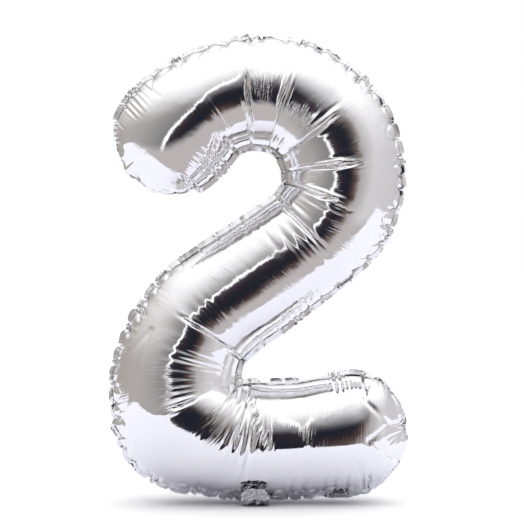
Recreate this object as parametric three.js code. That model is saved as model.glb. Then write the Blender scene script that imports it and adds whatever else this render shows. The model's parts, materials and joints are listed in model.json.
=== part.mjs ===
// A foil number balloon, the digit two, inflated.
// Two cut sheets of metallised film are heat-sealed round their edge and filled with gas. A filling neck with a
// two-ply self-sealing valve hangs from the bottom seam, folded forward against the base bar, and a ribbon tab
// with a punched hole is folded forward beside it. Units are millimetres, +Z is up and the front faces -Y.
// The origin is at the bottom centre of the bounding box.
import * as THREE from "three";

// Film. Real film is about 0.03 thick, so the sheets here are thickened to be solids that tools can handle.
const FILM = 0.6;
const VALVE_FILM = 0.3;
const GAP = 0.3;
const SEAL_WIDTH = 9;

// Inflated envelope. LIMIT is the half depth that the widest part of the envelope tends to.
const LIMIT_HALF_DEPTH = 115;
const ROUNDING_POWER = 6;
const STEPS_PER_RIB = 3;
const STEPS_ACROSS = 12;
const WELD_SAMPLES = 1200;
const RAIL_TENSION = 0.5;

// Ribs of the digit, from the hook's tip to the bar's end: each is where a section across the tube meets the
// weld line on the digit's outer right edge, then on its left edge, as [x, z, x, z].
const HOOK_TIP = [-218, 590];
const BAR_END = [268, 128];
const RIBS = [
  [-252, 664, -153, 569],
  [-238, 730, -88, 600],
  [-177, 791, -43, 641],
  [-99, 832, -14, 655],
  [-9, 850, 5, 655],
  [82, 841, 24, 650],
  [160, 801, 40, 635],
  [216, 746, 49, 617],
  [250, 676, 52, 597],
  [262, 592, 49, 576],
  [243, 514, 38, 556],
  [200, 450, 14, 532],
  [68, 339, -108, 454],
  [4, 293, -176, 401],
  [-26, 266, -231, 326],
  [-36, 240, -263, 240],
  [-34, 225, -266, 152],
  [-24, 211, -243, 72],
  [-5, 204, -180, 26],
  [20, 204, -100, 13],
  [46, 206, -33, 8],
  [74, 209, 21, 7],
  [122, 217, 103, 11],
  [190, 219, 189, 22],
  [238, 195, 246, 62],
];

// Filling neck, folded forward from the bottom seam and curled up against the bar, and its valve.
const NECK_X = -6;
const NECK_WIDTH = 54;
const NECK_LENGTH = 89;
const NECK_RUN = 36;
const NECK_BEND_RADIUS = 36;
const NECK_CORNER_RADIUS = 18;
const VALVE_WIDTH = 32;
const VALVE_REACH = 78;
const VALVE_SETBACK = 4;
const VALVE_CORNER_RADIUS = 5;
const CHANNEL_RISE = 1.2;
const CHANNEL_SHARE = 0.9;
const STRIP_ROWS = 18;
const STRIP_COLUMNS = 6;
const CORNER_STEPS = 4;

// Ribbon tab, also on the bottom seam.
const TAB_X = 148;
const TAB_WIDTH = 38;
const TAB_LENGTH = 31;
const TAB_HOLE_RADIUS = 3;
const TAB_LEAN_DEG = 22;
const ROUND_STEPS = 12;

const film = (name, roughness) =>
  new THREE.MeshStandardMaterial({ name, color: 0xd9d9dd, metalness: 1, roughness });
const FOIL = film("silver_film", 0.08);
const SEALED_FOIL = film("sealed_film", 0.15);
const VALVE_PLASTIC = new THREE.MeshStandardMaterial({
  name: "valve_film",
  color: 0xe9edf0,
  metalness: 0,
  roughness: 0.25,
});

// ---- solids from open surfaces ----

// Closes an open surface into a sheet: the outer points carry the faces, the inner points carry them reversed,
// and each edge that only one face uses gets a wall.
function sheetGeometry(outer, inner, faces) {
  const count = outer.length;
  const index = [];
  const edges = new Map();
  for (const face of faces) {
    index.push(...face);
    index.push(face[0] + count, face[2] + count, face[1] + count);
    face.forEach((from, k) => {
      const to = face[(k + 1) % 3];
      const back = `${to},${from}`;
      if (!edges.delete(back)) edges.set(`${from},${to}`, [from, to]);
    });
  }
  for (const [from, to] of edges.values()) {
    index.push(from, from + count, to);
    index.push(to, from + count, to + count);
  }
  const geometry = new THREE.BufferGeometry().setFromPoints([...outer, ...inner]);
  geometry.setIndex(index);
  return geometry;
}

// Vertex normals of an open surface given as points and faces.
function normalsOf(points, faces) {
  const geometry = new THREE.BufferGeometry().setFromPoints(points);
  geometry.setIndex(faces.flat());
  geometry.computeVertexNormals();
  const normal = geometry.getAttribute("normal");
  return points.map((_, i) => new THREE.Vector3().fromBufferAttribute(normal, i));
}

function meshOf(name, geometry, material) {
  const mesh = new THREE.Mesh(geometry, material);
  mesh.name = name;
  return mesh;
}

// ---- envelope ----

// The weld line as one closed curve: up the right-hand rail, round the bar's end and back along the
// left-hand one.
function weldLine() {
  const flat = ([x, z]) => new THREE.Vector3(x, 0, z);
  const right = RIBS.map((rib) => flat(rib.slice(0, 2)));
  const left = RIBS.map((rib) => flat(rib.slice(2, 4))).reverse();
  const points = [flat(HOOK_TIP), ...right, flat(BAR_END), ...left];
  return new THREE.CatmullRomCurve3(points, true, "catmullrom", RAIL_TENSION);
}

// Half depth of a section whose half width is given: round while narrow, and limited where the digit is wide.
function halfDepth(halfWidth) {
  if (halfWidth === 0) return 0;
  const sum = halfWidth ** -ROUNDING_POWER + LIMIT_HALF_DEPTH ** -ROUNDING_POWER;
  return sum ** (-1 / ROUNDING_POWER);
}

// The sections across the tube, and the closed loop of weld points that they end on.
function sections() {
  const curve = weldLine();
  const stations = (RIBS.length + 1) * STEPS_PER_RIB;
  const rows = [];
  for (let i = 0; i <= stations; i++) {
    const along = i / (2 * stations);
    const right = curve.getPoint(along);
    const left = curve.getPoint((1 - along) % 1);
    rows.push({ right, left });
  }
  const loop = [...rows.map((row) => row.right), ...rows.slice(1, -1).reverse().map((row) => row.left)];
  return { rows, loop };
}

// In-plane normals of the weld loop, pointing out of the digit. The loop runs clockwise seen from the front.
function outwardNormals(loop) {
  return loop.map((_, i) => {
    const before = loop.at(i - 1);
    const after = loop[(i + 1) % loop.length];
    const along = after.clone().sub(before).normalize();
    return new THREE.Vector3(-along.z, 0, along.x);
  });
}

// How far the seal stands off the middle plane: nothing, but over the neck, where the valve passes between
// the films.
function channelRise(p) {
  const overNeck = Math.abs(p.x - NECK_X) < (CHANNEL_SHARE * NECK_WIDTH) / 2;
  return overNeck && p.z < LIMIT_HALF_DEPTH ? CHANNEL_RISE : 0;
}

// One panel: side is -1 for the front and 1 for the back. Its film domes up from the weld line, and the seal
// runs round it as a flat band.
function panel(side) {
  const { rows, loop } = sections();
  const outward = outwardNormals(loop);
  const stations = rows.length - 1;
  const sealFace = side * (GAP / 2 + FILM);
  const innerFace = (side * GAP) / 2;
  const rise = loop.map((p) => side * channelRise(p));
  const outer = loop.map((p, i) => p.clone().setY(sealFace + rise[i]));
  const inner = loop.map((p, i) => {
    const inset = p.clone().addScaledVector(outward[i], -FILM);
    return inset.setY(innerFace + rise[i]);
  });

  // Row i of the grid starts and ends on the weld loop, and has its own points between.
  const grid = rows.map(({ right, left }, i) => {
    if (i === 0 || i === stations) return Array(STEPS_ACROSS + 1).fill(i);
    const depth = halfDepth(right.distanceTo(left) / 2);
    const row = [i];
    for (let j = 1; j < STEPS_ACROSS; j++) {
      const angle = (Math.PI * j) / STEPS_ACROSS;
      const point = right.clone().lerp(left, (1 - Math.cos(angle)) / 2);
      point.y = sealFace + side * depth * Math.sin(angle);
      row.push(outer.length);
      outer.push(point);
    }
    row.push(loop.length - i);
    return row;
  });

  const faces = [];
  const addFace = (a, b, c) => {
    if (a === b || b === c || c === a) return;
    faces.push(side < 0 ? [a, c, b] : [a, b, c]);
  };
  const addQuad = (a, b, c, d) => {
    addFace(a, b, c);
    addFace(a, c, d);
  };
  for (let i = 0; i < stations; i++)
    for (let j = 0; j < STEPS_ACROSS; j++)
      addQuad(grid[i][j], grid[i + 1][j], grid[i + 1][j + 1], grid[i][j + 1]);

  // Film thickness under the dome.
  const normals = normalsOf(outer, faces);
  for (let i = loop.length; i < outer.length; i++)
    inner.push(outer[i].clone().addScaledVector(normals[i], -FILM));

  // The sealed band outside the weld line.
  const band = outer.length;
  loop.forEach((p, i) => {
    const edge = p.clone().addScaledVector(outward[i], SEAL_WIDTH);
    outer.push(edge.clone().setY(sealFace + rise[i]));
    inner.push(edge.clone().setY(innerFace + rise[i]));
  });
  loop.forEach((_, i) => {
    const next = (i + 1) % loop.length;
    addQuad(i, band + i, band + next, next);
  });
  return sheetGeometry(outer, inner, faces);
}

// The lowest part of the weld line over a width of the bottom seam.
function seamHeight(x, width) {
  const line = weldLine().getPoints(WELD_SAMPLES);
  const over = line.filter((p) => Math.abs(p.x - x) <= width / 2);
  return Math.min(...over.map((p) => p.z));
}

// ---- neck, valve and ribbon tab ----

// A strip of film with rounded corners at its far end. From the fold line it runs level and forward, then curls
// up round a cylinder along X. Offset is how far it lies outside the stack's middle layer.
function bentStrip(width, length, corner, offset, thickness, fold) {
  const centre = fold.z + NECK_BEND_RADIUS;
  const at = (x, distance, offsetOut) => {
    const angle = Math.max(0, distance - NECK_RUN) / NECK_BEND_RADIUS;
    const radius = NECK_BEND_RADIUS + offsetOut;
    const y = -Math.min(distance, NECK_RUN) - radius * Math.sin(angle);
    return new THREE.Vector3(x, y, centre - radius * Math.cos(angle));
  };
  const outer = [];
  const inner = [];
  for (let i = 0; i <= STRIP_ROWS; i++) {
    const share = i / STRIP_ROWS;
    const distance = length * Math.sin((share * Math.PI) / 2);
    const past = Math.max(0, distance - (length - corner));
    const half = width / 2 - corner + Math.sqrt(Math.max(0, corner ** 2 - past ** 2));
    for (let j = 0; j <= STRIP_COLUMNS; j++) {
      const x = fold.x + half * ((2 * j) / STRIP_COLUMNS - 1);
      outer.push(at(x, distance, offset + thickness / 2));
      inner.push(at(x, distance, offset - thickness / 2));
    }
  }
  const faces = [];
  for (let i = 0; i < STRIP_ROWS; i++)
    for (let j = 0; j < STRIP_COLUMNS; j++) {
      const a = i * (STRIP_COLUMNS + 1) + j;
      const b = a + STRIP_COLUMNS + 1;
      faces.push([a, b + 1, b], [a, a + 1, b + 1]);
    }
  return sheetGeometry(outer, inner, faces);
}

// The ply of the valve that stands inside the envelope, from the seal's outer edge up into the bar.
function innerValvePly(side, seam) {
  const half = VALVE_WIDTH / 2;
  const top = SEAL_WIDTH + VALVE_REACH;
  const shape = new THREE.Shape();
  shape.moveTo(-half, 0);
  shape.lineTo(half, 0);
  shape.lineTo(half, top - VALVE_CORNER_RADIUS);
  shape.quadraticCurveTo(half, top, half - VALVE_CORNER_RADIUS, top);
  shape.lineTo(VALVE_CORNER_RADIUS - half, top);
  shape.quadraticCurveTo(-half, top, -half, top - VALVE_CORNER_RADIUS);
  const settings = { depth: VALVE_FILM, bevelEnabled: false, curveSegments: CORNER_STEPS };
  const ply = new THREE.ExtrudeGeometry(shape, settings);
  ply.rotateX(Math.PI / 2);
  const near = side < 0 ? -GAP / 2 : GAP / 2 + VALVE_FILM;
  ply.translate(NECK_X, near, seam - SEAL_WIDTH);
  return ply;
}

// A round-ended tab of two welded films with a punched hole, leaning forward and up from its fold.
function ribbonTab(fold) {
  const half = TAB_WIDTH / 2;
  const thickness = 2 * FILM;
  const shape = new THREE.Shape();
  shape.moveTo(half, 0);
  shape.lineTo(half, TAB_LENGTH - half);
  shape.absarc(0, TAB_LENGTH - half, half, 0, Math.PI, false);
  shape.lineTo(-half, 0);
  const hole = new THREE.Path();
  hole.absarc(0, TAB_LENGTH - half, TAB_HOLE_RADIUS, 0, 2 * Math.PI, true);
  shape.holes.push(hole);
  const settings = { depth: thickness, bevelEnabled: false, curveSegments: ROUND_STEPS };
  const tab = new THREE.ExtrudeGeometry(shape, settings);
  tab.translate(0, 0, -thickness / 2);
  tab.rotateX(Math.PI - THREE.MathUtils.degToRad(TAB_LEAN_DEG));
  tab.translate(fold.x, fold.y, fold.z);
  return tab;
}

// ---- assembly ----

function build() {
  // Layers of the folded neck, measured outwards from the middle of the stack.
  const valveLayer = GAP / 2 + VALVE_FILM / 2;
  const foilLayer = valveLayer + VALVE_FILM / 2 + GAP + FILM / 2;
  const halfStack = foilLayer + FILM / 2;

  // The folds lie just below the seal.
  const neckSeam = seamHeight(NECK_X, NECK_WIDTH);
  const tabSeam = seamHeight(TAB_X, TAB_WIDTH);
  const neckFold = new THREE.Vector3(NECK_X, 0, neckSeam - SEAL_WIDTH - GAP - halfStack);
  const tabFold = new THREE.Vector3(TAB_X, 0, tabSeam - SEAL_WIDTH - GAP - 2 * FILM);

  const neckPly = (offset) =>
    bentStrip(NECK_WIDTH, NECK_LENGTH, NECK_CORNER_RADIUS, offset, FILM, neckFold);
  const valvePly = (offset) =>
    bentStrip(VALVE_WIDTH, NECK_LENGTH - VALVE_SETBACK, VALVE_CORNER_RADIUS, offset, VALVE_FILM, neckFold);

  const balloon = new THREE.Group();
  balloon.add(meshOf("front_panel", panel(-1), FOIL));
  balloon.add(meshOf("back_panel", panel(1), FOIL));
  balloon.add(meshOf("neck_front_ply", neckPly(foilLayer), FOIL));
  balloon.add(meshOf("neck_back_ply", neckPly(-foilLayer), FOIL));
  balloon.add(meshOf("valve_neck_front_ply", valvePly(valveLayer), VALVE_PLASTIC));
  balloon.add(meshOf("valve_neck_back_ply", valvePly(-valveLayer), VALVE_PLASTIC));
  balloon.add(meshOf("valve_inner_front_ply", innerValvePly(-1, neckSeam), VALVE_PLASTIC));
  balloon.add(meshOf("valve_inner_back_ply", innerValvePly(1, neckSeam), VALVE_PLASTIC));
  balloon.add(meshOf("ribbon_tab", ribbonTab(tabFold), SEALED_FOIL));

  // Stand the balloon on the origin.
  const box = new THREE.Box3().setFromObject(balloon);
  const centre = box.getCenter(new THREE.Vector3());
  balloon.position.set(-centre.x, -centre.y, -box.min.z);
  return balloon;
}

export default build();
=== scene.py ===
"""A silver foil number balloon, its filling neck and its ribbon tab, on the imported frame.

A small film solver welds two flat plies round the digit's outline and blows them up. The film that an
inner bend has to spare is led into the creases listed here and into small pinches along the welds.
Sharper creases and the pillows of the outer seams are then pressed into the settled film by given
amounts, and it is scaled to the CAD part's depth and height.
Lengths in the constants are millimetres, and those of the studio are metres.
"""

import json
import math

import bpy
import numpy as np
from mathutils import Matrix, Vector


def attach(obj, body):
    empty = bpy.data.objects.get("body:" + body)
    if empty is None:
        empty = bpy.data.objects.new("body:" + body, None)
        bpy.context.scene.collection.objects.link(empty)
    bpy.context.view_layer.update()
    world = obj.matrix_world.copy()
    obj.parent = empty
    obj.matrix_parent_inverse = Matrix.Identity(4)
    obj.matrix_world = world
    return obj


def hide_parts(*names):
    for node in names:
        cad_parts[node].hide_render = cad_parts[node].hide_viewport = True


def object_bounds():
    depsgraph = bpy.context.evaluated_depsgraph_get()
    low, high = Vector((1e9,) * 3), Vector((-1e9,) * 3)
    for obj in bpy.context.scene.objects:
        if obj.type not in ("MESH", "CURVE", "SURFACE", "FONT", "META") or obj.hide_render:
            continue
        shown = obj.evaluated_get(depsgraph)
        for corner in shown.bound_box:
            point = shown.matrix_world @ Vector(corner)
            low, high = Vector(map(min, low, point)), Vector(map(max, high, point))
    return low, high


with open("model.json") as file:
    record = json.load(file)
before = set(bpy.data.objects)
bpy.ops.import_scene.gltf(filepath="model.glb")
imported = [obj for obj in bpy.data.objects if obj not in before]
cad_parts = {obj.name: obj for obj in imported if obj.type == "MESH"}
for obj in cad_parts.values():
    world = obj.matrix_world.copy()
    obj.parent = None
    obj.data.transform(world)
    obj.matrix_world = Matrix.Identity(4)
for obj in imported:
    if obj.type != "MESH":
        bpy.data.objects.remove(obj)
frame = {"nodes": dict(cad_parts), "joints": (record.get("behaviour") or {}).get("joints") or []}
cad_low, cad_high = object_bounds()

MM = 0.001

# ---------------------------------------------------------------- outline of the weld
# The CAD part's ribs: x, z on the outer rail, then x, z on the inner rail, from hook to bar.
HOOK_TIP = (-218, 590)
BAR_END = (268, 128)
RIBS = [
    (-252, 664, -153, 569), (-238, 730, -88, 600), (-177, 791, -43, 641),
    (-99, 832, -14, 655), (-9, 850, 5, 655), (82, 841, 24, 650),
    (160, 801, 40, 635), (216, 746, 49, 617), (250, 676, 52, 597),
    (262, 592, 49, 576), (243, 514, 38, 556), (200, 450, 14, 532),
    (68, 339, -108, 454), (4, 293, -176, 401), (-26, 266, -231, 326),
    (-36, 240, -263, 240), (-34, 225, -266, 152), (-24, 211, -243, 72),
    (-5, 204, -180, 26), (20, 204, -100, 13), (46, 206, -33, 8),
    (74, 209, 21, 7), (122, 217, 103, 11), (190, 219, 189, 22),
    (238, 195, 246, 62),
]
RISE = 5.2
RAIL_SAMPLES = 6001
# The tube starts and ends where the outline is this wide.
END_CHORD = 24.0
LIMIT_HALF_DEPTH = 112.0
ROUNDING_POWER = 6

# ---------------------------------------------------------------- film
# Rows along the digit, columns on each ply, steps, pressure and stiffness of each level.
LEVELS = [
    (120, 22, 700, 0.06, 0.15),
    (260, 40, 600, 0.025, 0.25),
    (560, 76, 500, 0.009, 0.25),
]
FINAL_ROWS, FINAL_HALF = 860, 100
# How much closer together the last grid's columns are at the seams.
CROWD = 0.08
SEED = 4
# The settled film comes out deeper than the CAD part, so its depth is scaled down.
DEPTH_SCALE = 0.90
# Spare length along the digit, as a share: everywhere, in the bends and beside the welds.
EVEN_EXCESS = 0.004
FLAT_SLOPE = 1.138
MOST_EXCESS = 0.34
SEAM_SLACK = 0.10
SEAM_SLACK_REACH = 40.0
# Spare length round the two ends: share, how it grows outwards, and where it stops.
CAP_EXCESS = 0.24
CAP_POWER = 2.5
CAP_FADE = 0.8
CAP_RADIUS = 1.35
CAP_ROWS = 2.2
CAP_FULL = 0.05
# The solver: speed kept at each step, how hard film resists being squeezed, sheared and bent along
# the weld, how much of its depth the weld keeps, and how much of the drift is taken out.
DAMPING = 0.93
SQUEEZE = 0.6
SHEAR = 0.4
SEAM_BEND = 0.5
SEAM_KEEP = 0.9
DRIFT = 0.08
# Uneven start: cells of the noise in rows and columns, with their heights.
RIPPLES = ((24, 0.6), (10, 0.5), (5, 0.35), (2, 0.2))
RIPPLE_HEIGHT = 1.5
# Creases in the film, most of them from the inner seam outwards: points of x, z, and a depth.
CREASES = [
    (((-29, 655), (-106, 747)), 9),
    (((-10, 656), (-14, 797)), 7),
    (((21, 649), (58, 769)), 8),
    (((45, 631), (150, 732)), 9),
    (((49, 608), (196, 621)), 9),
    (((45, 590), (77, 566), (187, 520)), 10),
    (((30, 562), (117, 450)), 8),
    (((49, 465), (91, 428)), 3),
    (((-49, 455), (40, 382)), 4),
    (((-173, 382), (-108, 317)), 4),
    (((-43, 276), (-200, 326)), 10),
    (((-53, 216), (-182, 160)), 9),
    (((-34, 206), (-126, 105)), 9),
    (((-34, 206), (-71, 96)), 7),
    (((-29, 197), (-29, 86)), 8),
    (((-6, 197), (21, 105)), 6),
    (((178, 77), (196, 40)), 3),
    (((215, 188), (261, 114)), 4),
    (((-108, 714), (-25, 658)), 3),
    (((-62, 628), (-112, 690)), 5),
    (((-95, 598), (-126, 636)), 3),
]
CREASE_WIDTH = 7.0
CREASE_TAPER = 0.7
# Sharper creases pressed in last, where the seam's pinches run on into the film.
PRESSED = [
    (((266, 145), (233, 141), (198, 116)), 3.0),
    (((258, 73), (202, 116)), 2.8),
    (((192, 24), (178, 77)), 2.4),
    (((200, 221), (192, 190), (237, 147)), 2.2),
    (((-215, 773), (-178, 746)), 2.2),
    (((-239, 624), (-203, 646)), 2.4),
    (((-127, 586), (-92, 620), (-76, 672)), 3.0),
    (((-194, 320), (-242, 170)), 2.4),
    (((-194, 320), (-253, 256)), 1.6),
]
PRESSED_WIDTH = 3.6
# How much of the spare film is tucked into creases, and how narrow they are.
TUCKED = 0.92
TUCK_WIDTH = 3.2
TUCK_REACH = 80.0
# The seam's own pinches: least and most distance between two, and more than either weld holds.
PINCH_PITCH = (24.0, 44.0)
MOST_PINCHES = 400
PINCHED = 0.8
PINCH_WIDTH = 2.6
# Pillows between the pinches of the outer seams: their reach, the crease that bounds them, their
# height and how far the weld swings out between two pinches.
PILLOW_REACH = (36.0, 62.0)
PILLOW_CREASE = 3.2
PILLOW_DEPTH = 2.6
PILLOW_PUFF = 2.4
PILLOW_SCALLOP = 5.0
SCALLOP_MIDDLE = 0.6
# A weld counts as an outer one where it is this much longer than the other, and at the two ends.
OUTER_FROM, OUTER_OVER = 1.05, 0.35
END_SHARE = 0.05

# ---------------------------------------------------------------- welded rim
SEAL_WIDTH = 9.0
SEAL_STEPS = 4
PLY_OFFSET = 0.18
RIM_ALLOWANCE = 10.0
RIM_LEAN = -5.2
RIM_CURVE = 1.15
# Crimps across the rim, as pitch and height, and its slow sway, as height and two wavelengths.
CRIMPS = ((7.0, 0.4), (11.0, 0.35), (26.0, 0.6))
SWAY = 1.6
SWAY_WAVES = (23, 61)


def spline_loop(points, at):
    """Points of a closed Catmull-Rom spline at shares of its way round."""
    count = len(points)
    place = (at % 1.0) * count
    index = np.floor(place).astype(int) % count
    t = (place - np.floor(place))[:, None]
    before, here, after, later = (points[(index + k) % count] for k in (-1, 0, 1, 2))
    start, end = (after - before) / 2, (later - here) / 2
    cubic = 2 * here - 2 * after + start + end
    square = -3 * here + 3 * after - 2 * start - end
    return cubic * t**3 + square * t * t + start * t + here


def rails(rows):
    """The two welds of the tube, outer then inner, as rows of x, z."""
    loop = [HOOK_TIP] + [r[:2] for r in RIBS] + [BAR_END] + [r[2:] for r in RIBS][::-1]
    loop = np.array(loop, float)
    share = np.linspace(0, 0.5, RAIL_SAMPLES)
    a, b = spline_loop(loop, share), spline_loop(loop, 1 - share)
    wide = np.where(np.linalg.norm(a - b, axis=1) > END_CHORD)[0]
    a, b = a[wide[0] : wide[-1] + 1], b[wide[0] : wide[-1] + 1]
    step = sum(np.linalg.norm(np.diff(line, axis=0), axis=1) for line in (a, b, (a + b) / 2))
    way = np.concatenate([[0], np.cumsum(step)])
    even = np.linspace(0, way[-1], rows)
    evened = [np.stack([np.interp(even, way, column) for column in line.T], axis=1) for line in (a, b)]
    return evened[0] + (0, RISE), evened[1] + (0, RISE)


def smoothed(values, reach):
    """A running mean along axis 0 with a soft window."""
    window = np.hanning(2 * reach + 3)[1:-1]
    window /= window.sum()
    flat = values.reshape(len(values), -1)
    padded = np.pad(flat, ((reach, reach), (0, 0)), mode="edge")
    out = np.stack([np.convolve(column, window, "valid") for column in padded.T], axis=1)
    return out.reshape(values.shape)


def length(vectors):
    """Lengths of the vectors along the last axis."""
    return np.sqrt((vectors * vectors).sum(-1))


def normals(points):
    """Outward normals of the tube's grid: rows run along it, columns go round it."""
    along = np.empty_like(points)
    along[1:-1] = points[2:] - points[:-2]
    along[0], along[-1] = points[1] - points[0], points[-1] - points[-2]
    around = np.roll(points, -1, axis=1) - np.roll(points, 1, axis=1)
    normal = np.cross(around, along)
    return normal / np.maximum(length(normal), 1e-9)[..., None]


class Tube:
    """The blown-up shape the film is drawn towards, and the lengths its flat plies really have."""

    def __init__(self, rows, half):
        self.rows, self.half, self.columns = rows, half, 2 * half
        a, b = rails(rows)
        self.a, self.b = a, b
        self.middle = (a + b) / 2
        self.chord = np.linalg.norm(a - b, axis=1) / 2
        power = ROUNDING_POWER
        self.depth = (self.chord**-power + LIMIT_HALF_DEPTH**-power) ** (-1 / power)
        angle = np.pi * np.arange(self.columns) / half
        across = (1 - np.cos(angle)) / 2
        self.points = np.empty((rows, self.columns, 3))
        for k, axis in ((0, 0), (1, 2)):
            self.points[..., axis] = np.outer(a[:, k], 1 - across) + np.outer(b[:, k], across)
        self.points[..., 1] = -np.outer(self.depth, np.sin(angle))

    def measure_flat_film(self):
        """Rest lengths of the flat film along, across and on both diagonals."""
        points, half = self.points, self.half
        along = np.diff(points, axis=0)
        around = np.roll(points, -1, axis=1) - points
        arc = np.cumsum(length(around)[:, :half], axis=1)
        arc = np.concatenate([np.zeros((self.rows, 1)), arc], axis=1)
        column = np.arange(self.columns)
        fold = np.minimum(column, self.columns - column)
        self.share = (arc / arc[:, -1:])[:, fold]
        size = length(along)
        excess = self.tuck(self.bend_excess(size), size, self.crease_rows(), TUCKED, TUCK_WIDTH)
        for rail, reach in enumerate((arc[:, fold], arc[:, -1:] - arc[:, fold])):
            reach = (reach[1:] + reach[:-1]) / 2
            slack = SEAM_SLACK * np.exp(-((reach / SEAM_SLACK_REACH) ** 2))
            excess += self.tuck(slack, size, self.pinch_rows(rail), PINCHED, PINCH_WIDTH)
        excess += EVEN_EXCESS
        cap, tangent = self.cap_excess()
        excess *= 1 - np.clip(cap / CAP_FULL, 0, 1)
        cap_rows, tangent_rows = self.to_rows(cap), self.to_rows(tangent)
        tangent_rows /= np.maximum(length(tangent_rows), 1e-6)[..., None]

        def stretched(base, edge, extra, direction):
            pull = edge[..., 0] * direction[..., 0] + edge[..., 2] * direction[..., 1]
            return np.sqrt(np.maximum(base + ((1 + extra) ** 2 - 1) * pull**2, 1e-6))

        long_part = (along**2).sum(-1) * (1 + excess) ** 2
        self.rest_along = stretched(long_part, along, cap, tangent)
        self.rest_around = stretched((around**2).sum(-1), around, cap_rows, tangent_rows)
        self.rest_diagonal = []
        for turn in (-1, 1):
            side = np.roll(points, turn, axis=1) - points
            side = (side[1:] + side[:-1]) / 2
            base = long_part + (side**2).sum(-1) + 2 * (along * side).sum(-1) * (1 + excess)
            self.rest_diagonal.append(stretched(base, along + side, cap, tangent))
        self.rest_bend_around = length(np.roll(points, -2, axis=1) - points)
        self.rest_bend_along = length(points[2:] - points[:-2])

    def crease_rows(self):
        """The row that each crease crosses at, for every column."""
        rows = []
        for line, _ in CREASES:
            ends = []
            for point in (line[0], line[-1]):
                arm = np.array(point) - self.a
                side = self.b - self.a
                at = np.clip((arm * side).sum(1) / (side * side).sum(1), 0, 1)
                away = length(arm - at[:, None] * side)
                row = np.argmin(away)
                ends.append((math.acos(1 - 2 * at[row]) / math.pi, row))
            ends.sort()
            (low, first), (high, last) = ends
            share = self.share[self.rows // 2]
            rows.append(np.interp(share, (low, high), (first, last)))
        return np.array(rows)

    def pinch_rows(self, rail):
        """Rows at random distances along one weld, where the seam pinches."""
        line = (self.a, self.b)[rail]
        way = np.concatenate([[0], np.cumsum(length(np.diff(line, axis=0)))])
        random = np.random.default_rng(SEED + 20 + rail)
        at = np.cumsum(random.uniform(*PINCH_PITCH, MOST_PINCHES))
        at = at[at < way[-1]]
        row = np.interp(at, way, np.arange(self.rows))
        return np.repeat(row[:, None], self.columns, axis=1)

    def tuck(self, excess, size, creases, part, width):
        """Gathers part of the spare film into creases, each column on its own."""
        place = np.cumsum(size, axis=0) - size / 2
        edge = np.arange(self.rows - 1)[:, None] + 0.5
        index = np.clip(creases, 0, self.rows - 2).astype(int)
        centres = np.take_along_axis(place, index, axis=0)
        nearest = np.argmin(np.abs(edge[None] - creases[:, None, :]), axis=0)
        away = np.abs(place - np.take_along_axis(centres, nearest, axis=0))
        moved = part * excess * size * (away < TUCK_REACH)
        out = excess - moved / size
        for k, centre in enumerate(centres):
            mass = (moved * (nearest == k)).sum(axis=0)
            bell = np.exp(-(((place - centre) / width) ** 2)) + 1e-9 * (np.abs(edge - index[k]) < 1)
            out += bell * mass / (bell * size).sum(axis=0)
        return out

    def bend_excess(self, along):
        """Spare film along the digit: a flat ply is cut straight where the blown-up one is round."""
        reach = max(2, int(self.rows * 0.012))
        outer = smoothed(along[:, 0:1], reach)
        inner = smoothed(along[:, self.half : self.half + 1], reach)
        share = (self.share[1:] + self.share[:-1]) / 2
        share = np.where(outer < inner, share, 1 - share)
        least, spread = np.minimum(outer, inner), np.abs(outer - inner)
        flat = least + FLAT_SLOPE * spread * share
        round_ply = least + spread * (1 - np.cos(np.pi * share)) / 2
        return np.minimum(np.maximum(flat / round_ply - 1, 0), MOST_EXCESS)

    def cap_excess(self):
        """Spare film round the two rounded ends, and the direction it lies in."""
        middle_edges = (self.points[1:] + self.points[:-1])[..., [0, 2]] / 2
        cap = np.zeros(middle_edges.shape[:2])
        tangent = np.zeros_like(middle_edges)
        for order in (slice(None), slice(None, None, -1)):
            middle, chord = self.middle[order], self.chord[order]
            way = np.concatenate([[0], np.cumsum(np.linalg.norm(np.diff(middle, axis=0), axis=1))])
            at = np.argmax(way >= chord)
            arm = middle_edges - middle[at]
            radius = length(arm)
            to_tip = middle[0] - middle[at]
            ahead = arm @ to_tip / chord[at] / np.linalg.norm(to_tip)
            share = radius / chord[at]
            extra = CAP_EXCESS * np.clip(share, 0, 1) ** CAP_POWER
            extra *= np.clip(1 + ahead / CAP_FADE, 0, 1) * (share < CAP_RADIUS)
            row = np.arange(self.rows - 1)[order]
            extra *= (row < at * CAP_ROWS)[:, None]
            turned = np.stack([-arm[..., 1], arm[..., 0]], axis=2)
            turned /= np.maximum(radius, 1e-6)[..., None]
            more = extra > cap
            cap = np.where(more, extra, cap)
            tangent = np.where(more[..., None], turned, tangent)
        return cap, tangent

    def to_rows(self, edges):
        """Values on the edges between rows, averaged onto the rows."""
        out = np.empty((self.rows,) + edges.shape[1:])
        out[1:-1] = (edges[1:] + edges[:-1]) / 2
        out[0], out[-1] = edges[0], edges[-1]
        return out


def hold_length(a, b, rest, on_stretch, on_squeeze):
    """Moves both ends of each edge towards its rest length, in place."""
    edge = b - a
    size = np.maximum(length(edge), np.float32(1e-6))
    change = (size - rest) / size
    change = np.where(change > 0, change * on_stretch, change * on_squeeze) * np.float32(0.5)
    move = edge * change[..., None]
    a += move
    b -= move


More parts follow.
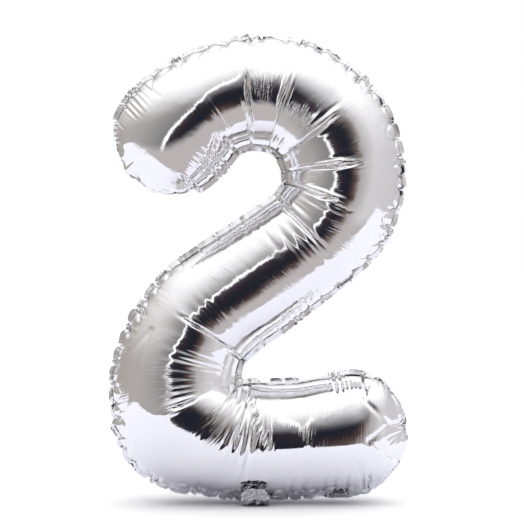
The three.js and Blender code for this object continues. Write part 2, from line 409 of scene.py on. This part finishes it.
def stiffen_ends(points, target, reach):
    """Keeps the weld smooth where it turns round the two ends of the tube, in place."""
    half = points.shape[1] // 2
    near = np.arange(reach, 0, -1)
    row = np.concatenate([near, np.zeros(half + 1, int), near[::-1]])
    column = np.concatenate([np.zeros(reach, int), np.arange(half + 1), np.full(reach, half)])
    weight = np.clip(1.3 - row / reach, 0, 1)[:, None].astype(np.float32)
    for end in (row, len(points) - 1 - row):
        moved = points[end, column] - target[end, column]
        step = (smoothed(moved, reach) - moved) * weight
        points[end, column] += step.astype(np.float32)
    mirror = (2 * half - np.arange(half, 2 * half)) % (2 * half)
    points[0, half:], points[-1, half:] = points[0, mirror], points[-1, mirror]


def relax(tube, points, steps, pressure, stiffness):
    """Blows the film up until its folds settle."""
    single = np.float32
    rows, half, columns = tube.rows, tube.half, tube.columns
    points, target = points.astype(single), tube.points.astype(single)
    rest_along, rest_around = tube.rest_along.astype(single), tube.rest_around.astype(single)
    diagonals = [rest.astype(single) for rest in tube.rest_diagonal]
    bend_around = tube.rest_bend_around.astype(single)
    bend_along = tube.rest_bend_along.astype(single)
    on_seam = np.zeros(columns, single)
    on_seam[[0, half]] = 1
    mirror = (columns - np.arange(columns)) % columns
    flip = np.array([1, -1, 1], single)
    shear, bend, seam_bend = single(SHEAR), single(stiffness), single(SEAM_BEND)
    pull, squeeze = single(1), single(SQUEEZE)
    reach = max(4, rows // 24)
    before = points.copy()
    for step in range(steps):
        speed = (points - before) * single(DAMPING)
        before = points.copy()
        points = points + speed + normals(points) * single(pressure)
        for first in (0, 1):
            pairs = (rows - first) // 2
            low = slice(first, first + 2 * pairs, 2)
            high = slice(first + 1, first + 2 * pairs, 2)
            hold_length(points[low], points[high], rest_along[low][:pairs], pull, squeeze)
        for first in (0, 1):
            here = np.arange(first, columns, 2)
            there = (here + 1) % columns
            a, b = points[:, here], points[:, there]
            hold_length(a, b, rest_around[:, here], pull, squeeze)
            points[:, here], points[:, there] = a, b
        for first in (0, 1):
            pairs = (rows - first) // 2
            low = slice(first, first + 2 * pairs, 2)
            high = slice(first + 1, first + 2 * pairs, 2)
            for turn, rest in zip((-1, 1), diagonals):
                a, b = points[low].copy(), np.roll(points[high], turn, axis=1)
                hold_length(a, b, rest[low][:pairs], shear, shear * single(0.5))
                points[low], points[high] = a, np.roll(b, -turn, axis=1)
        for first in (0, 1, 2, 3):
            here = np.arange(first, columns, 4)
            there = (here + 2) % columns
            a, b = points[:, here], points[:, there]
            free = bend * (1 - on_seam[(here + 1) % columns])
            hold_length(a, b, bend_around[:, here], single(0), free)
            points[:, here], points[:, there] = a, b
            a, b = points[first : rows - 2 : 4], points[first + 2 : rows : 4]
            firm = (bend + (seam_bend - bend) * on_seam)[None, :]
            hold_length(a, b, bend_along[first : rows - 2 : 4], single(0), firm)
        for row in (0, -1):
            points[row] = (points[row] + points[row][mirror] * flip) / 2
            points[row][:, 1] = 0
        if step % 2 == 0:
            stiffen_ends(points, target, rows // 20)
        points[:, [0, half], 1] *= single(SEAM_KEEP)
        if step % 4 == 0:
            drift = (points - target).mean(axis=1)
            points -= (smoothed(drift, reach) * single(DRIFT))[:, None, :].astype(single)
    return points.astype(float)


def ripple(random, rows, columns):
    """Smooth noise over the grid, the same on both sides of the seam it wraps round."""
    out = np.zeros((rows, columns))
    for cell, height in RIPPLES:
        knots = random.standard_normal((rows // cell + 3, columns // cell + 2))
        knots[:, -1] = knots[:, 0]
        y = np.linspace(0, len(knots) - 1.001, rows)
        x = np.linspace(0, knots.shape[1] - 1.001, columns)
        row, column = y.astype(int), x.astype(int)
        fy, fx = (y - row)[:, None], (x - column)[None]
        fy, fx = fy * fy * (3 - 2 * fy), fx * fx * (3 - 2 * fx)
        low = knots[row][:, column] * (1 - fx) + knots[row][:, column + 1] * fx
        high = knots[row + 1][:, column] * (1 - fx) + knots[row + 1][:, column + 1] * fx
        out += height * (low * (1 - fy) + high * fy)
    return out


def crease_depth(points, creases, width):
    """How deep each point lies in the nearest crease."""
    flat = points[..., [0, 2]]
    depth = np.zeros(points.shape[:2])
    for line, deep in creases:
        line = np.array(line, float)
        for start, end in zip(line[:-1], line[1:]):
            side = end - start
            at = np.clip(((flat - start) @ side) / (side @ side), 0, 1)
            away = length(flat - start - at[..., None] * side)
            taper = 1 - CREASE_TAPER * at if len(line) == 2 else 1.0
            depth = np.maximum(depth, deep * taper * np.exp(-((away / width) ** 2)))
    return depth


def resample(grid, rows, columns, crowd=0.0):
    """The grid at another count of rows and columns, on cubic curves; columns wrap round.

    Crowd brings the columns closer together at the seams.
    """

    def weights(t):
        t2, t3 = t * t, t * t * t
        before, here = (-t3 + 2 * t2 - t) / 2, (3 * t3 - 5 * t2 + 2) / 2
        after, later = (-3 * t3 + 4 * t2 + t) / 2, (t3 - t2) / 2
        return before, here, after, later

    old_rows, old_columns = grid.shape[:2]
    place = np.linspace(0, old_rows - 1, rows)
    index = np.minimum(place.astype(int), old_rows - 2)
    part = weights((place - index)[:, None, None])
    padded = np.concatenate([2 * grid[:1] - grid[1:2], grid, 2 * grid[-1:] - grid[-2:-1]])
    grid = sum(w * padded[index + k] for k, w in enumerate(part))
    half = columns // 2
    share = np.arange(columns) / half
    place = (share - crowd * np.sin(2 * np.pi * share)) * old_columns / 2
    index = place.astype(int)
    part = weights((place - index)[None, :, None])
    return sum(w * grid[:, (index + k - 1) % old_columns] for k, w in enumerate(part))


def pucker_seams(points):
    """Adds the small pillows between two pinches of an outer seam, and the crease that bounds each."""
    rows, columns = points.shape[:2]
    half = columns // 2
    tube = Tube(rows, half)
    out = normals(points)
    random = np.random.default_rng(SEED + 40)
    sizes = [smoothed(length(np.gradient(line, axis=0)), rows // 40) for line in (tube.a, tube.b)]
    index = np.arange(rows)
    from_end = np.minimum(index, rows - 1 - index) / rows
    lift = np.zeros((rows, columns))
    for rail in (0, 1):
        pinches = np.concatenate([[0], tube.pinch_rows(rail)[:, 0], [rows - 1]])
        lobe = np.clip(np.searchsorted(pinches, index, side="right") - 1, 0, len(pinches) - 2)
        phase = (index - pinches[lobe]) / (pinches[lobe + 1] - pinches[lobe])
        swell = np.sin(np.pi * np.clip(phase, 0, 1))
        outer = np.clip((sizes[rail] / sizes[1 - rail] - OUTER_FROM) / OUTER_OVER, 0, 1)
        outer = np.maximum(outer, np.clip(1 - from_end / END_SHARE, 0, 1))
        reach = random.uniform(*PILLOW_REACH, len(pinches))[lobe] * swell**0.55
        weight = (outer * swell**0.5)[:, None]
        reach = np.maximum(reach, 1)[:, None]
        for side in (-1, 1):
            column = (rail * half + side * np.arange(half // 2)) % columns
            strip = points[:, column]
            away = length(np.diff(strip, axis=1))
            away = np.concatenate([np.zeros((rows, 1)), np.cumsum(away, axis=1)], axis=1)
            valley = np.exp(-(((away - reach) / PILLOW_CREASE) ** 2)) * (away > 0.5)
            puff = np.sin(np.pi * np.clip(away / reach, 0, 1))
            lift[:, column] += weight * (PILLOW_PUFF * puff - PILLOW_DEPTH * valley)
            scallop = np.exp(-((away / PILLOW_REACH[0]) ** 2))
            scallop = scallop * (swell[:, None] ** 0.6 - SCALLOP_MIDDLE)
            lift[:, column] += PILLOW_SCALLOP * outer[:, None] * scallop * np.where(away > 0, 1, 0.5)
    return points + out * lift[..., None]


def inflate_film():
    """The settled film as a grid in metres, rows along the digit and columns round the tube."""
    random = np.random.default_rng(SEED)
    points = None
    for rows, half, steps, pressure, stiffness in LEVELS:
        tube = Tube(rows, half)
        tube.measure_flat_film()
        if points is None:
            lift = RIPPLE_HEIGHT * ripple(random, rows, 2 * half)
            lift = lift - crease_depth(tube.points, CREASES, CREASE_WIDTH)
            points = tube.points + normals(tube.points) * lift[..., None]
        else:
            points = tube.points + resample(moved, rows, 2 * half)
        points = relax(tube, points, steps, pressure, stiffness)
        moved = points - tube.points
    points = pucker_seams(resample(points, FINAL_ROWS, 2 * FINAL_HALF, CROWD))
    pressed = crease_depth(points, PRESSED, PRESSED_WIDTH)
    points -= normals(points) * pressed[..., None]
    points[..., 1] *= DEPTH_SCALE
    bottom, top = (corner.z / MM for corner in (cad_low, cad_high))
    heights = points[..., 2]
    span = (heights.min(), heights.max())
    points[..., 2] = np.interp(heights, span, (bottom + RIM_ALLOWANCE, top - RIM_ALLOWANCE))
    return points * MM


def lay_film(ply, film):
    """Gives each corner its place on the flat film, in metres along and across the digit."""
    layer = ply.data.uv_layers.new(name="film")
    corner = np.empty(len(ply.data.loops), int)
    ply.data.loops.foreach_get("vertex_index", corner)
    layer.data.foreach_set("uv", np.asarray(film, float)[corner].ravel())


def mesh_object(name, vertices, faces, material):
    """A smooth-shaded object of one material."""
    mesh = bpy.data.meshes.new(name)
    mesh.from_pydata([tuple(v) for v in vertices], [], faces)
    mesh.polygons.foreach_set("use_smooth", [True] * len(mesh.polygons))
    mesh.materials.append(material)
    mesh.update()
    made = bpy.data.objects.new(name, mesh)
    bpy.context.scene.collection.objects.link(made)
    return made


def seam_loop(grid):
    """The closed weld line of the film: out along the outer rail, and back along the inner one."""
    half = grid.shape[1] // 2
    return np.concatenate([grid[:, 0], grid[-1, 1:half], grid[::-1, half], grid[0, half - 1 : 0 : -1]])


def rim_rows(grid):
    """Rows of points from the weld line out to the cut edge of the crimped seal."""
    loop = seam_loop(grid)
    count = len(loop)
    wide = np.concatenate([loop] * 3)
    soft = smoothed(wide, 5)[count : 2 * count]
    tangent = np.roll(soft, -1, axis=0) - np.roll(soft, 1, axis=0)
    tangent[:, 1] = 0
    tangent /= length(tangent)[:, None]
    outward = np.stack([tangent[:, 2], np.zeros(count), -tangent[:, 0]], axis=1)
    area = (loop[:, 0] * np.roll(loop[:, 2], -1) - np.roll(loop[:, 0], -1) * loop[:, 2]).sum()
    outward *= np.sign(area)
    way = np.cumsum(length(np.roll(loop, -1, axis=0) - loop))
    random = np.random.default_rng(SEED + 1)
    crimp = np.zeros(count)
    for pitch, height in CRIMPS:
        knots = max(8, int(way[-1] / MM / pitch))
        noise = random.standard_normal(knots)
        noise = np.append(noise, noise[0])
        crimp += height * np.interp(way / way[-1] * knots, np.arange(knots + 1), noise)
    short_wave, long_wave = SWAY_WAVES
    sway = SWAY * np.sin(way / MM / short_wave + 1.7 * np.sin(way / MM / long_wave))
    rows = []
    for k in range(SEAL_STEPS + 1):
        share = k / SEAL_STEPS
        row = loop + outward * (SEAL_WIDTH * MM * share)
        row[:, 1] += (crimp * share + (RIM_LEAN + sway) * share**RIM_CURVE) * MM
        rows.append(row)
    return rows


def film_ply(name, grid, side, material):
    """One ply of the balloon: its blown-up dome, and its layer of the crimped seal."""
    rows, columns = grid.shape[:2]
    half = columns // 2
    order = np.arange(half + 1) if side < 0 else (columns - np.arange(half + 1)) % columns
    dome = grid[:, order]
    vertices = list(dome.reshape(-1, 3))
    corner = np.arange(rows * (half + 1)).reshape(rows, half + 1).tolist()
    faces = []
    for here, after in zip(corner[:-1], corner[1:]):
        for column in range(half):
            quad = (here[column], here[column + 1], after[column + 1], after[column])
            faces.append(quad if side < 0 else quad[::-1])
    film = flat_places(grid, dome)
    loop = [row[0] for row in corner]
    loop += corner[-1][1:half]
    loop += [row[half] for row in reversed(corner)]
    loop += corner[0][half - 1 : 0 : -1]
    last = loop
    for row in rim_rows(grid)[1:]:
        start = len(vertices)
        row = row + (0, side * PLY_OFFSET * MM, 0)
        vertices.extend(row)
        film.extend(film[index] for index in loop)
        here = list(range(start, start + len(row)))
        for k in range(len(row)):
            after = (k + 1) % len(row)
            quad = (last[k], here[k], here[after], last[after])
            faces.append(quad[::-1] if side < 0 else quad)
        last = here
    ply = mesh_object(name, vertices, faces, material)
    lay_film(ply, film)
    sharpen_weld(ply, set(loop))
    return ply


def flat_places(grid, dome):
    """Each vertex's place on the flat film: metres along the digit and across it."""
    rows, columns = grid.shape[:2]
    crown = grid[:, [columns // 4, columns // 2 + columns // 4]].mean(axis=1)
    along = np.concatenate([[0], np.cumsum(length(np.diff(crown, axis=0)))])
    width = np.cumsum(length(np.diff(dome, axis=1)), axis=1)
    across = np.concatenate([np.zeros((rows, 1)), width], axis=1)
    return [(along[row], place) for row in range(rows) for place in across[row]]


def sharpen_weld(ply, weld):
    """Keeps the shading crisp along the weld line."""
    sharp = ply.data.attributes.new("sharp_edge", "BOOLEAN", "EDGE")
    edges = np.empty(2 * len(ply.data.edges), int)
    ply.data.edges.foreach_get("vertices", edges)
    sharp.data.foreach_set("value", [a in weld and b in weld for a, b in edges.reshape(-1, 2)])


# ---------------------------------------------------------------- materials
# Noise scales of the mirror film: cloudy gloss, where tension lines show, and handling dents.
CLOUD_SCALE = 14.0
PATCH_SCALE = 17.0
DENT_SCALE = 55.0
# Tension lines per metre along the film, and how finely they break across it.
COMB_SCALE = (330.0, 22.0, 1.0)


class Graph:
    """Short calls for building a node tree."""

    def __init__(self, tree):
        self.tree = tree
        tree.nodes.clear()

    def node(self, kind, **inputs):
        made = self.tree.nodes.new(kind)
        for key, value in inputs.items():
            self.set(made.inputs[key.replace("_", " ")], value)
        return made

    def set(self, socket, value):
        if isinstance(value, bpy.types.NodeSocket):
            self.tree.links.new(value, socket)
        else:
            socket.default_value = value

    def math(self, operation, *values):
        made = self.tree.nodes.new("ShaderNodeMath")
        made.operation = operation
        for socket, value in zip(made.inputs, values):
            self.set(socket, value)
        return made.outputs[0]

    def ramp(self, factor, stops):
        made = self.tree.nodes.new("ShaderNodeValToRGB")
        self.set(made.inputs[0], factor)
        stops = sorted(stops)
        ramp = made.color_ramp
        ramp.elements[0].position, ramp.elements[0].color = stops[0][0], (*stops[0][1], 1)
        ramp.elements[1].position, ramp.elements[1].color = stops[-1][0], (*stops[-1][1], 1)
        for position, colour in stops[1:-1]:
            ramp.elements.new(position).color = (*colour, 1)
        return made.outputs[0]

    def map(self, value, low, high, to_low, to_high, kind="LINEAR"):
        made = self.tree.nodes.new("ShaderNodeMapRange")
        made.interpolation_type = kind
        for socket, number in zip(made.inputs, (value, low, high, to_low, to_high)):
            self.set(socket, number)
        return made.outputs[0]

    def mix(self, factor, first, second):
        """A colour mix: the node's colour sockets are its 7th and 8th."""
        made = self.tree.nodes.new("ShaderNodeMix")
        made.data_type = "RGBA"
        for index, value in ((0, factor), (6, first), (7, second)):
            self.set(made.inputs[index], value)
        return made.outputs[2]

    def noise(self, vector, scale, detail=3.0):
        made = self.node("ShaderNodeTexNoise", Vector=vector, Scale=scale, Detail=detail)
        return made.outputs[0]


def foil(name, colour, low_roughness, high_roughness, comb_height, dent_height):
    """Mirror film: metal with cloudy gloss, fine tension wrinkles across it and faint handling dents."""
    material = bpy.data.materials.new(name)
    material.use_nodes = True
    graph = Graph(material.node_tree)
    coordinates = graph.node("ShaderNodeTexCoord")
    place, film = coordinates.outputs["Object"], coordinates.outputs["UV"]
    cloud = graph.noise(place, CLOUD_SCALE)
    stretched = graph.node("ShaderNodeMapping", Vector=film, Scale=COMB_SCALE).outputs[0]
    comb = graph.noise(stretched, 1.0, 4.0)
    patches = graph.map(graph.noise(place, PATCH_SCALE, 2.0), 0.47, 0.70, 0.10, 1.0, "SMOOTHSTEP")
    dents = graph.noise(place, DENT_SCALE, 2.0)
    combed = graph.node(
        "ShaderNodeBump",
        Strength=1.0,
        Distance=comb_height,
        Height=graph.math("MULTIPLY", comb, patches),
    )
    bump = graph.node("ShaderNodeBump", Strength=1.0, Distance=dent_height, Height=dents)
    graph.set(bump.inputs["Normal"], combed.outputs[0])
    shader = graph.node(
        "ShaderNodeBsdfPrincipled",
        Base_Color=(*colour, 1),
        Metallic=1.0,
        Roughness=graph.map(cloud, 0.3, 0.7, low_roughness, high_roughness),
        Normal=bump.outputs[0],
    )
    out = graph.node("ShaderNodeOutputMaterial")
    graph.set(out.inputs["Surface"], shader.outputs[0])
    return material


def clear_film(name):
    """The valve's thin frosted film."""
    material = bpy.data.materials.new(name)
    material.use_nodes = True
    graph = Graph(material.node_tree)
    place = graph.node("ShaderNodeTexCoord").outputs["Object"]
    cloud = graph.noise(place, 90.0)
    bump = graph.node("ShaderNodeBump", Strength=0.3, Distance=0.0003, Height=cloud)
    shader = graph.node(
        "ShaderNodeBsdfPrincipled",
        Base_Color=(0.86, 0.87, 0.88, 1),
        Alpha=0.6,
        Roughness=graph.map(cloud, 0.3, 0.7, 0.2, 0.38),
        Normal=bump.outputs[0],
    )
    out = graph.node("ShaderNodeOutputMaterial")
    graph.set(out.inputs["Surface"], shader.outputs[0])
    return material


# ---------------------------------------------------------------- studio
# What the mirror sees at the horizon: degrees round from the camera, and a colour.
HORIZON = [
    (-180, (0.06, 0.06, 0.07)), (-164, (0.09, 0.09, 0.10)), (-150, (0.48, 0.46, 0.45)),
    (-130, (0.42, 0.38, 0.35)), (-80, (0.46, 0.43, 0.41)), (-50, (0.40, 0.38, 0.37)),
    (-24, (0.26, 0.25, 0.25)), (-19, (0.23, 0.22, 0.22)), (-17.8, (1.25, 1.25, 1.25)),
    (-14.8, (1.25, 1.25, 1.25)), (-12.6, (0.060, 0.046, 0.062)), (-4, (0.026, 0.021, 0.028)),
    (8, (0.013, 0.017, 0.028)), (17, (0.032, 0.024, 0.028)), (25, (0.13, 0.09, 0.08)),
    (34, (0.44, 0.41, 0.41)), (60, (0.68, 0.66, 0.67)), (120, (0.62, 0.61, 0.62)),
    (150, (0.55, 0.54, 0.55)), (163, (0.09, 0.09, 0.10)), (180, (0.06, 0.06, 0.07)),
]
WINDOW_SLANT = 0.45
# The wall's foot and the ceiling's light: colour, and the heights between which they come in.
LOW_WALL, LOW_WALL_HEIGHTS = (0.52, 0.48, 0.48), (-0.30, -0.50)
TOP_LIGHT, TOP_LIGHT_HEIGHTS = (1.22, 1.22, 1.24), (0.15, 0.95)
LAMP_STRENGTH = 1.3
LAMP_SPREAD = math.radians(100)
FLOOR_REACH, FLOOR_HEIGHT, FLOOR_PAINT = 60, -0.001, (0.93, 0.93, 0.93)
# The pale table that only the mirror sees, and where its front edge is.
TABLE_REACH, TABLE_FRONT, TABLE_HEIGHT, TABLE_PAPER = 2, -0.48, -0.0005, (0.74, 0.74, 0.81)
CAMERA_PLACE = (0.0065, -3.0, 0.4425)
CAMERA_LENS, CAMERA_SENSOR = 111.7, 36


def build_world():
    """A white room with a dark doorway behind the camera and a narrow window beside it."""
    world = bpy.data.worlds.new("studio")
    bpy.context.scene.world = world
    world.use_nodes = True
    graph = Graph(world.node_tree)
    direction = graph.node("ShaderNodeTexCoord").outputs["Generated"]
    split = graph.node("ShaderNodeSeparateXYZ", Vector=direction)
    x, y, z = split.outputs
    turn = graph.math("ARCTAN2", x, graph.math("MULTIPLY", y, -1.0))
    turn = graph.math("SUBTRACT", turn, graph.math("MULTIPLY", z, WINDOW_SLANT))
    around = graph.map(turn, -math.pi, math.pi, 0.0, 1.0)
    wall = graph.ramp(around, [((angle + 180) / 360, colour) for angle, colour in HORIZON])
    foot = graph.map(z, *LOW_WALL_HEIGHTS, 0.0, 1.0, "SMOOTHSTEP")
    ceiling = graph.map(z, *TOP_LIGHT_HEIGHTS, 0.0, 1.0, "SMOOTHSTEP")
    wall = graph.mix(foot, wall, (*LOW_WALL, 1))
    wall = graph.mix(ceiling, wall, (*TOP_LIGHT, 1))
    room = graph.node("ShaderNodeBackground", Color=wall, Strength=1.0)
    plain = graph.node("ShaderNodeBackground", Color=(1, 1, 1, 1), Strength=1.0)
    seen = graph.node("ShaderNodeLightPath").outputs["Is Camera Ray"]
    choice = graph.tree.nodes.new("ShaderNodeMixShader")
    graph.set(choice.inputs[0], seen)
    graph.set(choice.inputs[1], room.outputs[0])
    graph.set(choice.inputs[2], plain.outputs[0])
    out = graph.node("ShaderNodeOutputWorld")
    graph.set(out.inputs["Surface"], choice.outputs[0])


def plain_material(name, colour):
    """A matt paint for the stage."""
    material = bpy.data.materials.new(name)
    material.use_nodes = True
    shader = material.node_tree.nodes["Principled BSDF"]
    shader.inputs["Base Color"].default_value = (*colour, 1)
    shader.inputs["Roughness"].default_value = 0.9
    return material


def flat_stage(name, x, y, z, material):
    """A level sheet that isn't part of the object."""
    corners = [(x[0], y[0], z), (x[1], y[0], z), (x[1], y[1], z), (x[0], y[1], z)]
    sheet = mesh_object(name, corners, [(0, 1, 2, 3)], material)
    return sheet


def build_studio():
    """The room, the floor that the camera sees and the table that the mirror sees."""
    build_world()
    reach = (-FLOOR_REACH, FLOOR_REACH)
    paint = plain_material("floor_paint", FLOOR_PAINT)
    floor = flat_stage("floor", reach, reach, FLOOR_HEIGHT, paint)
    floor.visible_glossy = False
    paper = plain_material("table_paper", TABLE_PAPER)
    depth = (TABLE_FRONT, TABLE_REACH)
    table = flat_stage("table", (-TABLE_REACH, TABLE_REACH), depth, TABLE_HEIGHT, paper)
    table.visible_camera = False
    table.visible_diffuse = False
    table.visible_shadow = False
    build_lamp()


def build_lamp():
    """A broad overhead lamp for the floor, kept out of the mirror."""
    lamp = bpy.data.lights.new("overhead", "SUN")
    lamp.energy = LAMP_STRENGTH
    lamp.angle = LAMP_SPREAD
    made = bpy.data.objects.new("overhead", lamp)
    made.visible_glossy = False
    bpy.context.scene.collection.objects.link(made)


def build_camera():
    """A long lens square on to the digit."""
    camera = bpy.data.objects.new("camera", bpy.data.cameras.new("camera"))
    bpy.context.scene.collection.objects.link(camera)
    camera.location = CAMERA_PLACE
    camera.rotation_euler = (math.pi / 2, 0, 0)
    camera.data.lens = CAMERA_LENS
    camera.data.sensor_width = CAMERA_SENSOR
    bpy.context.scene.camera = camera


# ---------------------------------------------------------------- neck and tab
# The neck runs level and forward, then curls up; past its free length it crumples in full.
NECK_RUN = 36.0
NECK_BEND_RADIUS = 36.0
NECK_FREE = 16.0
# What the lowest ply needs under the middle of the stack, so that none sinks below the balloon.
NECK_STACK = 1.1
NECK_ROWS, NECK_COLUMNS = 110, 84
NECK_CRUMPLE_PITCH, NECK_CRUMPLE = 5.0, 5.4
NECK_GATHER = 0.9
NECK_SAG = 1.2
NECK_NARROWING = 0.05
# Each ply in the neck: name, CAD node, slot, offset in the stack, width, length, corner.
# The foil plies of the neck take the darkened copy of the mirror film, whose darker colour is painted
# shade.
NECK_PLIES = [
    ("neck_foil_front", "neck_front_ply", "sealed_film", 0.90, 54.0, 89.0, 18.0),
    ("neck_valve_front", "valve_neck_front_ply", "valve_film", 0.30, 32.0, 85.0, 5.0),
    ("neck_valve_back", "valve_neck_back_ply", "valve_film", -0.30, 32.0, 85.0, 5.0),
    ("neck_foil_back", "neck_back_ply", "sealed_film", -0.90, 54.0, 89.0, 18.0),
]
TAB_WIDTH, TAB_LENGTH, TAB_HOLE_RADIUS = 38.0, 31.0, 3.0
TAB_HALF_THICKNESS = 0.3
TAB_LEAN = math.radians(22)
TAB_RINGS, TAB_SPOKES = 26, 168
TAB_FREE = 8
TAB_FLUTE, TAB_FLUTE_PITCH = 0.75, 0.85
TAB_CRUMPLE, TAB_CRUMPLE_PITCH = 1.6, 5.0


def joint_place(name):
    """A joint's place in metres."""
    joint = next(j for j in frame["joints"] if j["name"] == name)
    return np.array(joint["pos_m"], float)


def crinkle(random, u, v, pitch):
    """Hard-edged foil crumple over a sheet, from folded waves in several directions."""
    out = np.zeros_like(u)
    for k in range(9):
        angle = random.uniform(0, math.pi)
        wave = (u * math.cos(angle) + v * math.sin(angle)) / pitch / random.uniform(0.6, 1.9)
        wave = wave + random.uniform(0, 9) + 0.35 * np.sin(wave * 0.7 + k)
        out += (np.abs((wave % 2) - 1) - 0.5) * random.uniform(0.5, 1.0)
    return out / 3


def build_neck(materials):
    """The crumpled plies of the filling neck and its valve, curled up in front of the lower seam."""
    fold = joint_place("neck_fold") / MM
    for name, node, slot, offset, width, reach, corner in NECK_PLIES:
        random = np.random.default_rng(SEED + 2)
        v = reach * np.sin(np.linspace(0, np.pi / 2, NECK_ROWS))[:, None]
        past = np.maximum(0, v - (reach - corner))
        half = width / 2 - corner + np.sqrt(np.maximum(0, corner**2 - past**2))
        u = half * np.linspace(-1, 1, NECK_COLUMNS)[None]
        v = v + 0 * u
        free = np.clip(v / NECK_FREE, 0, 1) ** 1.5
        gather = np.sin(u / 3.4 + 1.3 * np.sin(v / 17)) * NECK_GATHER
        crumple = crinkle(random, u, v, NECK_CRUMPLE_PITCH) * NECK_CRUMPLE
        lift = (crumple + gather - NECK_SAG) * free
        angle = np.maximum(0, v - NECK_RUN) / NECK_BEND_RADIUS
        clearance = fold[2] - NECK_STACK + NECK_BEND_RADIUS * (1 - np.cos(angle))
        lift = np.minimum(lift, clearance)
        radius = NECK_BEND_RADIUS + offset + lift
        x = fold[0] + u * (1 - NECK_NARROWING * free)
        y = -np.minimum(v, NECK_RUN) - radius * np.sin(angle)
        z = fold[2] + NECK_BEND_RADIUS - radius * np.cos(angle)
        vertices = np.stack([x, y, z], axis=2).reshape(-1, 3) * MM
        faces = []
        for i in range(NECK_ROWS - 1):
            for j in range(NECK_COLUMNS - 1):
                a = i * NECK_COLUMNS + j
                quad = (a, a + NECK_COLUMNS, a + NECK_COLUMNS + 1, a + 1)
                faces.append(quad if offset > 0 else quad[::-1])
        ply = mesh_object(name, vertices, faces, materials[slot])
        lay_film(ply, np.stack([v, u], axis=2).reshape(-1, 2) * MM)
        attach(ply, "filling_neck")
        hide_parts(node)


def build_tab(material):
    """The crumpled ribbon tab with its punched hole."""
    fold = joint_place("tab_fold")
    random = np.random.default_rng(SEED + 3)
    half = TAB_WIDTH / 2
    centre = np.array([0.0, TAB_LENGTH - half])
    angle = np.linspace(0, 2 * np.pi, TAB_SPOKES, endpoint=False)
    ray = np.stack([np.cos(angle), np.sin(angle)], axis=1)
    side = np.abs(half / np.where(np.abs(ray[:, 0]) < 1e-9, 1e-9, ray[:, 0]))
    down = centre[1] / np.maximum(-ray[:, 1], 1e-9)
    reach = np.where(ray[:, 1] < 0, np.minimum(side, down), half)
    share = np.linspace(0, 1, TAB_RINGS)[:, None, None]
    ring = centre + ray * (TAB_HOLE_RADIUS + (reach[:, None] - TAB_HOLE_RADIUS) * share)
    u, v = ring[..., 0], ring[..., 1]
    free = np.clip(v / TAB_FREE, 0, 1)
    flutes = TAB_FLUTE * np.sin(u / TAB_FLUTE_PITCH + 0.8 * np.sin(v / 5))
    lift = (flutes + TAB_CRUMPLE * crinkle(random, u, v, TAB_CRUMPLE_PITCH)) * free
    vertices = []
    for layer in (-1, 1):
        normal = lift + layer * TAB_HALF_THICKNESS
        y = -v * math.cos(TAB_LEAN) + normal * math.sin(TAB_LEAN)
        z = v * math.sin(TAB_LEAN) + normal * math.cos(TAB_LEAN)
        vertices.extend(np.stack([u, y, z], axis=2).reshape(-1, 3) * MM + fold)
    tab = mesh_object("ribbon_tab_foil", vertices, tab_faces(), material)
    lay_film(tab, np.tile(np.stack([v, u], axis=2).reshape(-1, 2), (2, 1)) * MM)
    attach(tab, "ribbon_tab")
    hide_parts("ribbon_tab")


def tab_faces():
    """The tab's under and upper sides, ring by ring, then the walls of its hole and of its edge."""
    faces = []
    top = TAB_RINGS * TAB_SPOKES
    for start in (0, top):
        for i in range(TAB_RINGS - 1):
            here, out = start + i * TAB_SPOKES, start + (i + 1) * TAB_SPOKES
            for j in range(TAB_SPOKES):
                k = (j + 1) % TAB_SPOKES
                quad = (here + j, out + j, out + k, here + k)
                faces.append(quad if start else quad[::-1])
    for i in (0, TAB_RINGS - 1):
        ring = i * TAB_SPOKES
        for j in range(TAB_SPOKES):
            k = (j + 1) % TAB_SPOKES
            quad = (ring + j, ring + k, top + ring + k, top + ring + j)
            faces.append(quad if i else quad[::-1])
    return faces


def build_balloon():
    """Every piece of the balloon, each on its CAD body."""
    materials = {
        "silver_film": foil("silver_film", (0.93, 0.93, 0.94), 0.03, 0.08, 0.0007, 0.0002),
        # The neck's and the tab's foil is the mirror film with its colour darkened: painted shade,
        # standing in for the darkness they reflect. Its rougher gloss and deeper dents are the crumpled
        # film's own.
        "sealed_film": foil("sealed_film", (0.60, 0.59, 0.61), 0.06, 0.14, 0.0004, 0.0004),
        "valve_film": clear_film("valve_film"),
    }
    grid = inflate_film()
    for name, node, side in (("front_film", "front_panel", -1), ("back_film", "back_panel", 1)):
        ply = film_ply(name, grid, side, materials["silver_film"])
        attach(ply, "envelope")
        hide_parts(node)
    build_neck(materials)
    # The tab takes the darkened foil, whose darker colour is painted shade.
    build_tab(materials["sealed_film"])
    for name in ("valve_inner_front_ply", "valve_inner_back_ply"):
        node = frame["nodes"][name]
        node.data.materials.clear()
        node.data.materials.append(materials["valve_film"])


build_camera()
build_studio()
build_balloon()
bpy.context.scene.view_settings.view_transform = "Standard"
